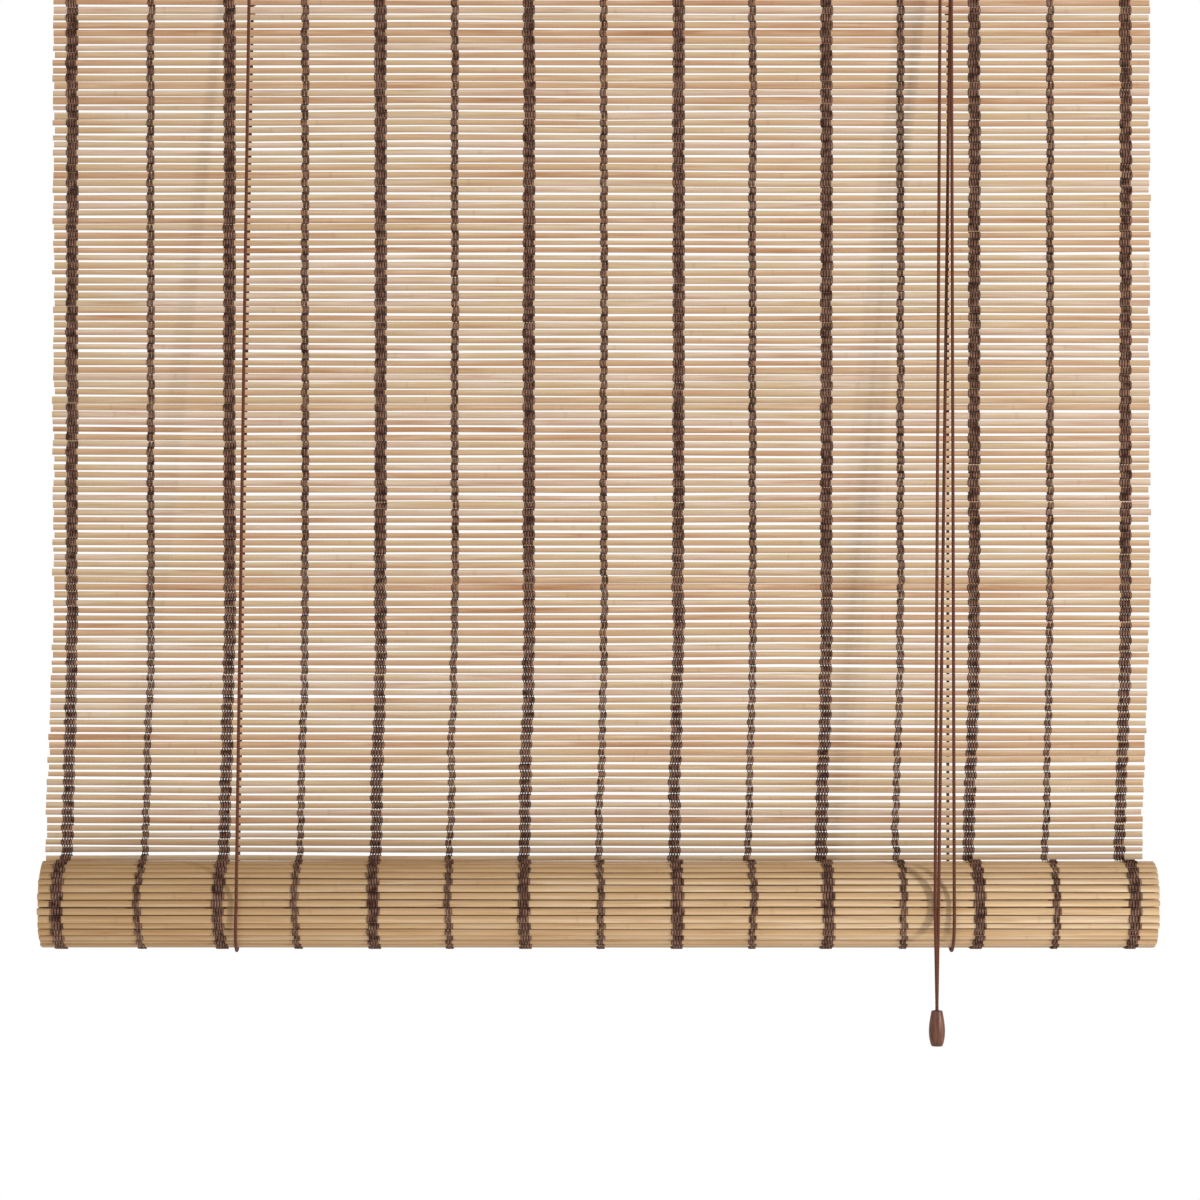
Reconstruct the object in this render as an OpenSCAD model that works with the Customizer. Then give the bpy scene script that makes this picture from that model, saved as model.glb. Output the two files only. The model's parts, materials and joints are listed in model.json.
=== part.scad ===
// Bamboo roll-up blind, hung by two eyes on a wall and half rolled up by its cords.
// Millimetres. +X runs along the slats, -Y faces the room and +Z is up.
// The origin is midway between the two hanging eyes, in the plane of the wall.

/* [Mat] */
// Length of a bamboo slat, which is the width of the blind
slat_l = 900; // [880:5:960]
// Height of a slat
slat_h = 4.6; // [4:0.1:5.2]
// Thickness of a slat
slat_t = 1.6; // [1.2:0.1:2]
// Distance from one slat to the next
slat_pitch = 6.15; // [5.8:0.05:6.5]
// Number of slats that hang between the head rail and the roll
slat_count = 121; // [80:1:121]
// Thickness of the yarn on each face of the slats
yarn_t = 0.6; // [0.4:0.1:0.8]
// Width of a thick yarn band
thick_band_w = 9.8; // [8:0.2:12]
// Width of a thin yarn band
thin_band_w = 5.2; // [4:0.2:6]
// Distance between the inner thick bands
band_pitch = 122; // [116:1:124]
// Distance of the outermost thick band from the slat ends
band_inset = 17; // [12:1:24]

/* [Roll] */
// Middle radius of the outermost turn
roll_r = 36; // [32:1:40]
// Distance from one turn to the next
turn_pitch = 3.8; // [3.4:0.1:4.4]
// Diameter of the rod that the mat is rolled on
rod_d = 16; // [12:1:20]
// Gap between the last hanging slat and the roll
roll_gap = 0.3; // [0.2:0.1:0.6]

/* [Head rail] */
// Height of the head rail
rail_h = 40; // [38:1:50]
// Thickness of each of the two battens
batten_t = 10; // [9:0.5:14]
// Distance from the end of the rail to the middle of a hanging eye
hanger_inset = 100; // [80:5:130]
// Distance from the middle of a hanging eye down to the top of the rail
eye_drop = 12; // [10:1:20]
// Diameter of the hole in a hanging eye
eye_hole_d = 6; // [4:0.5:8]
// Width of a hanger plate
hanger_w = 24; // [20:1:30]
// Thickness of a hanger plate
hanger_t = 2; // [2:0.25:3]

/* [Cords and pulleys] */
// Diameter of the cord
cord_d = 2.6; // [2:0.1:3]
// Distance from the end of the rail to each lift cord
cord_inset = 164; // [154:1:180]
// Radius of the cord's middle line on a pulley wheel
wheel_cord_r = 4.5; // [4.5:0.25:6]
// Width of a pulley wheel
wheel_w = 6; // [5.6:0.2:8]
// Diameter of a pulley axle
axle_d = 3; // [2:0.2:3]
// Distance from the right lift cord to the pull strands in front of the roll
pull_shift = 16.5; // [14:0.5:30]
// Distance from the roll's axis down to the top of the pull knob
knob_drop = 82; // [70:1:120]
// Height of the pull knob
knob_h = 28; // [22:1:36]
// Largest diameter of the pull knob
knob_d = 13; // [11:0.5:18]

/* [Hidden] */
$fn = 48;

// Clearance of a pin in its hole
fit = 0.05;
// Clearance between a cord and what it passes
cord_gap = 0.4;
// Gap between the two pull strands
strand_gap = 1.4;
cord_r = cord_d / 2;
cord_sides = 8;
cord_x = slat_l / 2 - cord_inset;
pull_x = cord_x - pull_shift;
hanger_x = slat_l / 2 - hanger_inset;
// Overlap of a cutting tool past the face that it opens
past = 1;

// Places from the wall towards the room
rear_batten_y = -hanger_t - batten_t;
mat_y = rear_batten_y - slat_t / 2;
mat_front_y = rear_batten_y - slat_t;
rail_front_y = mat_front_y - batten_t;

// Heights from the eyes down to the roll
rail_top_z = -eye_drop;
rail_mid_z = rail_top_z - rail_h / 2;
rail_bottom_z = rail_top_z - rail_h;
slat_gap = slat_pitch - slat_h;
mat_l = slat_count * slat_pitch - slat_gap;
axis_y = mat_y - roll_r;
axis_z = rail_bottom_z - mat_l - roll_gap;

// Part of the mat that the battens clamp, and the thin strip that joins the slats behind the middle band
clamp_h = rail_h - 4;
core_t = slat_t / 2;
core_w = thin_band_w - 1;

// Bands, from left to right
edge_band_x = slat_l / 2 - band_inset;
inner_x = [for (i = [-2.5:2.5]) i * band_pitch];
thick_x = concat([-edge_band_x], inner_x, [edge_band_x]);
thin_x = [for (i = [0:len(thick_x) - 2]) (thick_x[i] + thick_x[i + 1]) / 2];

// Rolled mat: length s along the mat from the roll's outer end gives radius and angle
rod_gap = 0.1;
inner_r = rod_d / 2 + rod_gap + slat_t / 2;
rolled_l = PI * (pow(roll_r, 2) - pow(inner_r, 2)) / turn_pitch;
rolled_count = floor(rolled_l / slat_pitch);
outer_turn_l = PI * (2 * roll_r - turn_pitch);
outer_turn_count = floor(outer_turn_l / slat_pitch);
groove = slat_t / 3;
// Room for a band's straight stretches over the corners of the slats
band_lift = pow(slat_pitch, 2) / (8 * (roll_r - turn_pitch));
roll_max_r = roll_r + slat_t / 2 + band_lift + yarn_t;
function spiral_r(s) = sqrt(pow(roll_r, 2) - turn_pitch * s / PI);
function spiral_angle(s) = 360 * (roll_r - spiral_r(s)) / turn_pitch;
function spiral_point(s, out) =
    (spiral_r(s) + out) * [cos(spiral_angle(s)), -sin(spiral_angle(s))];

// Pulleys on the front of the rail
plate_t = 2;
side_gap = 0.5;
wheel_z = rail_mid_z - 1;
flange_r = wheel_cord_r + cord_r + 1.2;
groove_r = wheel_cord_r - cord_r - cord_gap;
groove_half_w = cord_r + cord_gap;
rim_half_w = groove_half_w + 0.5;
left_wheel_x = -cord_x + wheel_cord_r;
right_wheel_x = cord_x - wheel_cord_r;
plate_front_y = rail_front_y - plate_t;
rear_wheel_y = plate_front_y - side_gap - wheel_w / 2;
front_wheel_y = rear_wheel_y - side_gap - wheel_w;
cheek_r = flange_r + 2;
bridge_z = flange_r + 1.5;
ear_x = cheek_r + 3.5;
ear_z = -4;
ear_r = 4.5;
axle_r = axle_d / 2;
axle_head_r = axle_r + 1.3;
axle_head_h = 1.2;

// Screws
screw_r = 1.5;
screw_head_r = 3;
screw_head_h = 1.8;
slot_w = 0.8;
outer_screw_x = slat_l / 2 - 55;
inner_screw_x = 130;
batten_screw_x = [-outer_screw_x, -inner_screw_x, 0, inner_screw_x, outer_screw_x];
batten_screw_l = 1.8 * batten_t + slat_t;
bracket_screw_l = plate_t + 0.8 * batten_t;
hanger_screw_l = hanger_t + 0.7 * batten_t;
hanger_screw_dz = 9;
sink_h = hanger_t - 0.3;

// Ties behind the rail: a screw eye, and the cord knotted round it
eye_wire_r = 0.9;
eye_ring_r = 4;
eye_neck = 1;
eye_shank_l = 12;
tie_loop_r = 3.5;
knot_r = 2.6;
knot_h = 7;
tie_y = rear_batten_y + yarn_t + tie_loop_r + cord_r + 0.6;
tie_ring_z = rail_bottom_z - eye_neck - eye_wire_r - eye_ring_r;
tie_loop_z = tie_ring_z - eye_ring_r + eye_wire_r - tie_loop_r + cord_r + 0.1;
knot_top_z = tie_loop_z - tie_loop_r + cord_r;
knot_bottom_z = knot_top_z - knot_h;

// Lift loops under the roll, and the two pull strands that come together over the knob
loop_r = roll_max_r + cord_gap + cord_r;
loop_rear_y = axis_y + loop_r;
loop_front_y = axis_y - loop_r;
strand_half = cord_r + strand_gap / 2;
knob_top_z = axis_z - knob_drop;
knob_bore_r = strand_half + cord_r + fit;
knob_bore_h = 6;
knob_steps = 16;

// A straight stretch of cord with level ends
function cord_ring(p) =
    [for (k = [0:cord_sides - 1]) p + cord_r * [cos(360 * k / cord_sides), sin(360 * k / cord_sides), 0]];

module cord_run(low, high) {
    n = cord_sides;
    sides = [for (k = [0:n - 1]) [k, k + n, (k + 1) % n + n, (k + 1) % n]];
    caps = [[for (k = [0:n - 1]) k], [for (k = [n - 1:-1:0]) k + n]];
    polyhedron(concat(cord_ring(low), cord_ring(high)), concat(caps, sides));
}

// An arc of cord in the XZ plane, about its middle
module cord_arc(r, start, turn) {
    rotate([90, 0, 0])
        rotate([0, 0, start])
            rotate_extrude(angle = turn)
                translate([r, 0])
                    circle(cord_r);
}

// A rod along +Y from the origin
module y_rod(r, l) {
    rotate([-90, 0, 0])
        cylinder(r = r, h = l);
}

// A flat outline in the XZ plane, with its thickness towards +Y
module upright(t) {
    translate([0, t, 0])
        rotate([90, 0, 0])
            linear_extrude(t)
                children();
}

// An outline of the roll's end, with the roll's axis at its origin, drawn out along X
module along_roll(w) {
    translate([-w / 2, axis_y, axis_z])
        rotate([90, 0, 90])
            linear_extrude(w)
                children();
}

// A slotted screw that points towards +Y, with the underside of its head at the origin
module screw(l) {
    difference() {
        union() {
            translate([0, -screw_head_h, 0])
                y_rod(screw_head_r, screw_head_h);
            y_rod(screw_r, l);
        }
        translate([-screw_head_r, -screw_head_h - past, -slot_w / 2])
            cube([2 * screw_head_r, past + screw_head_h / 2, slot_w]);
    }
}

module batten_screw_holes() {
    for (x = batten_screw_x)
        translate([x, rail_front_y - past, rail_mid_z])
            y_rod(screw_r + fit, past + batten_screw_l + fit);
}

module bracket_screw_places() {
    for (wheel_x = [left_wheel_x, right_wheel_x], side = [-1, 1])
        translate([wheel_x + side * ear_x, plate_front_y, wheel_z + ear_z])
            children();
}

module hanger_screw_places() {
    for (side = [-1, 1], up = [-1, 1])
        translate([side * hanger_x, 0, rail_mid_z + up * hanger_screw_dz])
            children();
}

// A countersunk screw that points towards -Y, with the top of its head at the origin
module sunk_screw(l, room) {
    rotate([90, 0, 0]) {
        cylinder(r1 = screw_head_r + room, r2 = screw_r + room, h = sink_h);
        cylinder(r = screw_r + room, h = l + room);
    }
}

module batten(y) {
    translate([-slat_l / 2, y, rail_bottom_z])
        cube([slat_l, batten_t, rail_h]);
}

module front_batten() {
    color("burlywood")
        difference() {
            batten(rail_front_y);
            batten_screw_holes();
            bracket_screw_places()
                y_rod(screw_r + fit, bracket_screw_l + fit);
        }
}

module rear_batten() {
    color("burlywood")
        difference() {
            batten(rear_batten_y);
            batten_screw_holes();
            hanger_screw_places()
                sunk_screw(hanger_screw_l, fit);
            for (side = [-1, 1])
                translate([side * cord_x, tie_y, rail_bottom_z - past])
                    cylinder(r = eye_wire_r + fit, h = past + eye_shank_l + fit);
        }
}

module batten_screws() {
    color("silver")
        for (x = batten_screw_x)
            translate([x, rail_front_y, rail_mid_z])
                screw(batten_screw_l);
}

module hanger(side) {
    plate_bottom_z = rail_bottom_z + 4;
    color("silver")
        difference() {
            translate([side * hanger_x, -hanger_t, 0])
                upright(hanger_t)
                    difference() {
                        union() {
                            circle(hanger_w / 2);
                            translate([-hanger_w / 2, plate_bottom_z])
                                square([hanger_w, -plate_bottom_z]);
                        }
                        circle(eye_hole_d / 2);
                    }
            hanger_screw_places()
                sunk_screw(hanger_screw_l, fit);
        }
}

module left_hanger() {
    hanger(-1);
}

module right_hanger() {
    hanger(1);
}

module hanger_screws() {
    color("gray")
        hanger_screw_places()
            sunk_screw(hanger_screw_l, 0);
}

// A bracket over one wheel or two: a plate with ears on the rail, a bridge and a front cheek
module bracket(wheel_x, last_wheel_y) {
    cheek_y = last_wheel_y - wheel_w / 2 - side_gap - plate_t;
    color("silver")
        translate([wheel_x, 0, wheel_z])
            difference() {
                union() {
                    translate([0, plate_front_y, 0])
                        upright(plate_t) {
                            cheek_outline();
                            translate([-ear_x, ear_z - ear_r])
                                square([2 * ear_x, 2 * ear_r]);
                            for (side = [-1, 1])
                                translate([side * ear_x, ear_z])
                                    circle(ear_r);
                        }
                    translate([0, cheek_y, 0])
                        upright(plate_t)
                            cheek_outline();
                    translate([-cheek_r, cheek_y, bridge_z])
                        cube([2 * cheek_r, rail_front_y - cheek_y, plate_t]);
                }
                translate([0, cheek_y - past, 0])
                    y_rod(axle_r + fit, rail_front_y - cheek_y + 2 * past);
                for (side = [-1, 1])
                    translate([side * ear_x, plate_front_y - past, ear_z])
                        y_rod(screw_r + fit, plate_t + 2 * past);
            }
}

module cheek_outline() {
    circle(cheek_r);
    translate([-cheek_r, 0])
        square([2 * cheek_r, bridge_z + plate_t]);
}

module left_bracket() {
    bracket(left_wheel_x, rear_wheel_y);
}

module right_bracket() {
    bracket(right_wheel_x, front_wheel_y);
}

// A headed pin through both plates of a bracket
module axle(wheel_x, last_wheel_y) {
    cheek_y = last_wheel_y - wheel_w / 2 - side_gap - plate_t;
    color("gray")
        translate([wheel_x, cheek_y, wheel_z]) {
            y_rod(axle_r, rail_front_y - cheek_y);
            translate([0, -axle_head_h, 0])
                y_rod(axle_head_r, axle_head_h);
        }
}

module left_axle() {
    axle(left_wheel_x, rear_wheel_y);
}

module right_axle() {
    axle(right_wheel_x, front_wheel_y);
}

// A grooved wheel that turns on its axle
module wheel(x, y) {
    half_w = wheel_w / 2;
    outline = [
        [axle_r + fit, -half_w],
        [flange_r, -half_w],
        [flange_r, -rim_half_w],
        [groove_r, -groove_half_w],
        [groove_r, groove_half_w],
        [flange_r, rim_half_w],
        [flange_r, half_w],
        [axle_r + fit, half_w]
    ];
    color("dimgray")
        translate([x, y, wheel_z])
            rotate([90, 0, 0])
                rotate_extrude()
                    polygon(outline);
}

module left_wheel() {
    wheel(left_wheel_x, rear_wheel_y);
}

module front_wheel() {
    wheel(right_wheel_x, front_wheel_y);
}

module rear_wheel() {
    wheel(right_wheel_x, rear_wheel_y);
}

module bracket_screws() {
    color("gray")
        bracket_screw_places()
            screw(bracket_screw_l);
}

// A screw eye under the rear batten
module screw_eye(x) {
    color("silver")
        translate([x, tie_y, 0]) {
            translate([0, 0, tie_ring_z])
                rotate([90, 0, 0])
                    rotate_extrude()
                        translate([eye_ring_r, 0])
                            circle(eye_wire_r);
            translate([0, 0, tie_ring_z + eye_ring_r])
                cylinder(r = eye_wire_r, h = rail_bottom_z + eye_shank_l - tie_ring_z - eye_ring_r);
        }
}

module left_eye() {
    screw_eye(-cord_x);
}

module right_eye() {
    screw_eye(cord_x);
}

// The end of a lift cord, looped through its screw eye and knotted
module tie_knot(x) {
    waist_r = knot_r - 0.6;
    outline = [[0, 0], [waist_r, 0], [knot_r, knot_h / 4], [knot_r, knot_h * 3 / 4], [waist_r, knot_h], [0, knot_h]];
    color("saddlebrown")
        translate([x, tie_y, 0]) {
            translate([0, 0, tie_loop_z])
                rotate([0, 90, 0])
                    rotate_extrude()
                        translate([tie_loop_r, 0])
                            circle(cord_r);
            translate([0, 0, knot_bottom_z])
                rotate_extrude()
                    polygon(outline);
        }
}

module left_knot() {
    tie_knot(-cord_x);
}

module right_knot() {
    tie_knot(cord_x);
}

module hanging_slats() {
    color("tan")
        difference() {
            union() {
                for (i = [0:slat_count - 1])
                    translate([-slat_l / 2, mat_front_y, rail_bottom_z - slat_h - i * slat_pitch])
                        cube([slat_l, slat_t, slat_h]);
                translate([-slat_l / 2, mat_front_y, rail_bottom_z - slat_h])
                    cube([slat_l, slat_t, slat_h + clamp_h]);
                translate([-core_w / 2, mat_y - core_t / 2, rail_bottom_z - mat_l])
                    cube([core_w, core_t, mat_l]);
            }
            batten_screw_holes();
        }
}

// Strips of yarn down the front and the rear of the hanging slats
module hanging_bands(places, w) {
    color("saddlebrown")
        for (x = places, y = [mat_front_y - yarn_t, rear_batten_y])
            translate([x - w / 2, y, rail_bottom_z - mat_l])
                cube([w, yarn_t, mat_l]);
}

module hanging_thick_bands() {
    hanging_bands(thick_x, thick_band_w);
}

module hanging_thin_bands() {
    hanging_bands(thin_x, thin_band_w);
}

// The wound mat: every slat is a flat with a groove before the next one
module rolled_slats() {
    half_t = slat_t / 2;
    half_gap = slat_gap / 2;
    outside = [
        for (i = [0:rolled_count - 1], step = [0:2])
            step == 0 ? spiral_point(i * slat_pitch, i == 0 ? half_t : half_t - groove) :
            step == 1 ? spiral_point(i * slat_pitch + half_gap, half_t) :
            spiral_point((i + 1) * slat_pitch - half_gap, half_t)
    ];
    inside = [for (i = [rolled_count:-1:0]) spiral_point(min(i * slat_pitch, rolled_l), -half_t)];
    color("peru")
        along_roll(slat_l)
            polygon(concat(outside, inside));
}

// Strips of yarn round the outermost turn
module rolled_bands(places, w) {
    lift = slat_t / 2 + band_lift;
    run = [for (i = [0:outer_turn_count - 1]) (i + 0.5) * slat_pitch];
    outside = [for (s = run) spiral_point(s, lift + yarn_t)];
    inside = [for (i = [len(run) - 1:-1:0]) spiral_point(run[i], lift)];
    color("saddlebrown")
        for (x = places)
            translate([x, 0, 0])
                along_roll(w)
                    polygon(concat(outside, inside));
}

module rolled_thick_bands() {
    rolled_bands(thick_x, thick_band_w);
}

module rolled_thin_bands() {
    rolled_bands(thin_x, thin_band_w);
}

module bottom_rod() {
    color("burlywood")
        translate([-slat_l / 2, axis_y, axis_z])
            rotate([0, 90, 0])
                cylinder(d = rod_d, h = slat_l);
}

// A lift cord behind the mat, from its knot down to the roll
module rear_cord(x) {
    color("brown")
        cord_run([x, loop_rear_y, axis_z], [x, tie_y, knot_bottom_z]);
}

module left_rear_cord() {
    rear_cord(-cord_x);
}

module right_rear_cord() {
    rear_cord(cord_x);
}

// A lift cord before the mat, from the roll up to its pulley
module front_cord(x, wheel_y) {
    color("brown")
        cord_run([x, loop_front_y, axis_z], [x, wheel_y, wheel_z]);
}

module left_front_cord() {
    front_cord(-cord_x, rear_wheel_y);
}

module right_front_cord() {
    front_cord(cord_x, front_wheel_y);
}

// The half turn of a lift cord under the roll
module lift_loop(x) {
    color("brown")
        translate([x, axis_y, axis_z])
            rotate([0, 0, 90])
                cord_arc(loop_r, 180, 180);
}

module left_loop() {
    lift_loop(-cord_x);
}

module right_loop() {
    lift_loop(cord_x);
}

// The left cord from its own pulley along the rail and over the rear wheel
module cross_cord() {
    color("brown")
        translate([0, rear_wheel_y, wheel_z]) {
            translate([left_wheel_x, 0, 0])
                cord_arc(wheel_cord_r, 90, 90);
            translate([left_wheel_x, 0, wheel_cord_r])
                rotate([0, 90, 0])
                    cylinder(r = cord_r, h = right_wheel_x - left_wheel_x);
            translate([right_wheel_x, 0, 0])
                cord_arc(wheel_cord_r, 0, 90);
        }
}

// The right cord over the front wheel
module right_wrap() {
    color("brown")
        translate([right_wheel_x, front_wheel_y, wheel_z])
            cord_arc(wheel_cord_r, 0, 180);
}

module left_pull_upper() {
    color("brown")
        cord_run([pull_x + strand_half, loop_front_y, axis_z], [cord_x, rear_wheel_y, wheel_z]);
}

module right_pull_upper() {
    color("brown")
        cord_run(
            [pull_x - strand_half, loop_front_y, axis_z],
            [cord_x - 2 * wheel_cord_r, front_wheel_y, wheel_z]
        );
}

// A pull strand below the roll: the two turn behind each other on the way into the knob
module pull_lower(side) {
    color("brown")
        cord_run(
            [pull_x, loop_front_y + side * strand_half, knob_top_z - knob_bore_h],
            [pull_x + side * strand_half, loop_front_y, axis_z]
        );
}

module left_pull_lower() {
    pull_lower(1);
}

module right_pull_lower() {
    pull_lower(-1);
}

// A turned knob, drilled from above for the two strands
module pull_knob() {
    neck = 0.68;
    function knob_r(t) = knob_d / 2 * (neck + (1 - neck) * sin(180 * pow(t, 0.8)));
    outline = [for (i = [0:knob_steps]) [knob_r(i / knob_steps), knob_h * i / knob_steps]];
    color("sienna")
        translate([pull_x, loop_front_y, knob_top_z - knob_h])
            difference() {
                rotate_extrude()
                    polygon(concat([[0, 0]], outline, [[0, knob_h]]));
                translate([0, 0, knob_h - knob_bore_h])
                    cylinder(r = knob_bore_r, h = knob_bore_h + past);
            }
}

front_batten();
rear_batten();
batten_screws();
left_hanger();
right_hanger();
hanger_screws();
left_bracket();
left_wheel();
left_axle();
right_bracket();
front_wheel();
rear_wheel();
right_axle();
bracket_screws();
left_eye();
right_eye();
left_knot();
right_knot();
hanging_slats();
hanging_thick_bands();
hanging_thin_bands();
rolled_slats();
rolled_thick_bands();
rolled_thin_bands();
bottom_rod();
left_rear_cord();
right_rear_cord();
left_front_cord();
right_front_cord();
left_loop();
right_loop();
cross_cord();
right_wrap();
left_pull_upper();
right_pull_upper();
left_pull_lower();
right_pull_lower();
pull_knob();
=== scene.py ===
# %% [markdown]
# # A bamboo roll-up blind
# A mat of flat bamboo slats hangs from a wooden rail. Dark yarn ties the slats together in bands, two
# cords lift the lower part into a roll, and both cords come down on the right as pull strands.
# The construction model is loaded first. It fixes every size and place, so each piece below is a finer
# copy of the solid that it stands for, within the few millimetres that a hand-tied mat wanders.

# %% Load the construction model
import json
import math
import bmesh
import bpy
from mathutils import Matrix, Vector


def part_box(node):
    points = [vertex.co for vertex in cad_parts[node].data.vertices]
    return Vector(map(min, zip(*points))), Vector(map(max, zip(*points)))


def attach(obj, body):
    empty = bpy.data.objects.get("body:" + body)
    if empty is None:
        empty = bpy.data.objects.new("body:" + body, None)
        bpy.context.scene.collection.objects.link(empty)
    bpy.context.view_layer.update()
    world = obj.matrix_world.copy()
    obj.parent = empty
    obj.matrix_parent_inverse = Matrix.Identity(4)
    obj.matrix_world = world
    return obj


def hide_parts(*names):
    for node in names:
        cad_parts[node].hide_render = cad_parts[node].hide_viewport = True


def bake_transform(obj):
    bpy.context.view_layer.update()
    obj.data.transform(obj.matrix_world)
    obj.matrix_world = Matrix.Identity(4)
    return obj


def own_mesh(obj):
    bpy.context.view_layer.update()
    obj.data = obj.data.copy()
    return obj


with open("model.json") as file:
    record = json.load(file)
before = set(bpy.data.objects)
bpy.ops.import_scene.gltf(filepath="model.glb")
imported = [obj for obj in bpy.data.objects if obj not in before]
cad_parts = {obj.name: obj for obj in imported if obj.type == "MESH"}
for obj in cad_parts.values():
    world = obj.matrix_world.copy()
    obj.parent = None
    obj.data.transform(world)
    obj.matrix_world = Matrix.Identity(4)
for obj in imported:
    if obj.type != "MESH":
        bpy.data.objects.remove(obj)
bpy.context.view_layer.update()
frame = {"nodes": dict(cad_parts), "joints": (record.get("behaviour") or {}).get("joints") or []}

# %% [markdown]
# ## Sizes
# All sizes are metres. The few driving sizes are the ones of the construction model, and what can be
# measured on its nodes is measured there, so the two models can't drift apart. The pull strands lie side
# by side on the roll and one behind the other in the knob, and the loops sit snugly on the roll's slats.

# %% Sizes of the mat, the roll and the cords
SLAT_COUNT, SLAT_PITCH = 121, 0.00615
SLAT_LENGTH, SLAT_HEIGHT, SLAT_THICKNESS = 0.9, 0.0046, 0.0016
ROLL_RADIUS, TURN_PITCH, ROD_RADIUS = 0.036, 0.0038, 0.008
CORD_RADIUS = 0.0013
WHEEL_CORD_RADIUS = 0.0045
STRAND_HALF, BORE_HALF = 0.00137, 0.002
SNUG = 0.0009
KNOB_BORE = 0.006

mat_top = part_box("front_batten")[0][2]
mat_y = (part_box("hanging_slats")[0][1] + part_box("hanging_slats")[1][1]) / 2
rod_low, rod_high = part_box("bottom_rod")
axis_y = (rod_low[1] + rod_high[1]) / 2
axis_z = (rod_low[2] + rod_high[2]) / 2
hang_length = mat_top - axis_z
lift_travel = next(j for j in frame["joints"] if j["name"] == "roll_lift")["range_m"][1]
print("mat hangs", round(hang_length, 4), "m and the roll rises", lift_travel, "m")

# %% [markdown]
# ## Node sheets
# Both shaders and Geometry Nodes are graphs, and long graphs are hard to read as link lists. A wire that
# knows its sheet lets sums be written as sums: each operator adds one Math node. One method makes every
# other node from its type, its settings and the values of its sockets.

# %% A wire that does sums
class Wire:
    def __init__(self, sheet, socket):
        self.sheet = sheet
        self.socket = socket

    def sum(self, operation, first, second=None):
        values = {0: first} if second is None else {0: first, 1: second}
        return self.sheet.make("ShaderNodeMath", {"operation": operation}, values)[0]

    def __add__(self, other):
        return self.sum("ADD", self, other)

    def __radd__(self, other):
        return self.sum("ADD", other, self)

    def __sub__(self, other):
        return self.sum("SUBTRACT", self, other)

    def __rsub__(self, other):
        return self.sum("SUBTRACT", other, self)

    def __mul__(self, other):
        return self.sum("MULTIPLY", self, other)

    def __rmul__(self, other):
        return self.sum("MULTIPLY", other, self)

    def __truediv__(self, other):
        return self.sum("DIVIDE", self, other)

    def __rtruediv__(self, other):
        return self.sum("DIVIDE", other, self)

    def __pow__(self, other):
        return self.sum("POWER", self, other)

    def __abs__(self):
        return self.sum("ABSOLUTE", self)

    def sine(self):
        return self.sum("SINE", self)

    def cosine(self):
        return self.sum("COSINE", self)

    def fraction(self):
        return self.sum("FRACT", self)

    def larger(self, other):
        return self.sum("MAXIMUM", self, other)


# %% A sheet that makes nodes
class Made:
    def __init__(self, sheet, node):
        self.sheet = sheet
        self.node = node

    def __getitem__(self, name):
        return Wire(self.sheet, self.node.outputs[name])


class Sheet:
    def __init__(self, tree):
        self.tree = tree
        self.inputs = {}

    def feed(self, made, values):
        for name, value in values.items():
            socket = made.node.inputs[name]
            for one in value if isinstance(value, list) else [value]:
                if isinstance(one, Wire):
                    self.tree.links.new(one.socket, socket)
                else:
                    socket.default_value = one

    def make(self, kind, settings=None, values=None):
        node = self.tree.nodes.new(kind)
        for name, value in (settings or {}).items():
            if name == "stops":
                while len(node.color_ramp.elements) < len(value):
                    node.color_ramp.elements.new(1.0)
                for element, (place, colour) in zip(node.color_ramp.elements, value):
                    element.position = place
                    element.color = colour
            else:
                setattr(node, name, value)
        made = Made(self, node)
        self.feed(made, values or {})
        return made

    def vector(self, x, y, z):
        return self.make("ShaderNodeCombineXYZ", {}, {"X": x, "Y": y, "Z": z})["Vector"]


print("node sheets are ready")

# %% [markdown]
# ## Finishes
# A colour is written as it looks on a screen, 0 to 255, and turned into the linear numbers that a shader
# wants. Every finish starts from the same Principled shader, and its pattern feeds only the sockets that
# may vary over a surface. A Mix node has a set of sockets for each kind of data, all with the same names,
# so its colour sockets are picked by number, and so are those of the Random Value node further down.

# %% Colour and finish helpers
def screen(red, green, blue):
    def linear(value):
        share = value / 255
        return share / 12.92 if share <= 0.04045 else ((share + 0.055) / 1.055) ** 2.4
    return (linear(red), linear(green), linear(blue), 1.0)


def new_finish(name, constants):
    material = bpy.data.materials.new(name)
    material.use_nodes = True
    sheet = Sheet(material.node_tree)
    sheet.tree.nodes.clear()
    shader = sheet.make("ShaderNodeBsdfPrincipled", {}, constants)
    sheet.make("ShaderNodeOutputMaterial", {}, {"Surface": shader["BSDF"]})
    return material, sheet, shader


def noise(sheet, place, stretch, detail=3.0, roughness=0.55):
    scaled = sheet.make("ShaderNodeMapping", {}, {"Vector": place, "Scale": stretch})["Vector"]
    values = {"Vector": scaled, "Scale": 1.0, "Detail": detail, "Roughness": roughness}
    return sheet.make("ShaderNodeTexNoise", {}, values)["Fac"]


def spread(sheet, value, low, high, to_low=0.0, to_high=1.0):
    values = {"Value": value, "From Min": low, "From Max": high, "To Min": to_low, "To Max": to_high}
    return sheet.make("ShaderNodeMapRange", {}, values)["Result"]


def mix(sheet, share, first, second):
    return sheet.make("ShaderNodeMix", {"data_type": "RGBA"}, {0: share, 6: first, 7: second})[2]


def bump(sheet, height, strength, distance):
    values = {"Height": height, "Strength": strength, "Distance": distance}
    return sheet.make("ShaderNodeBump", {}, values)["Normal"]


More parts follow.
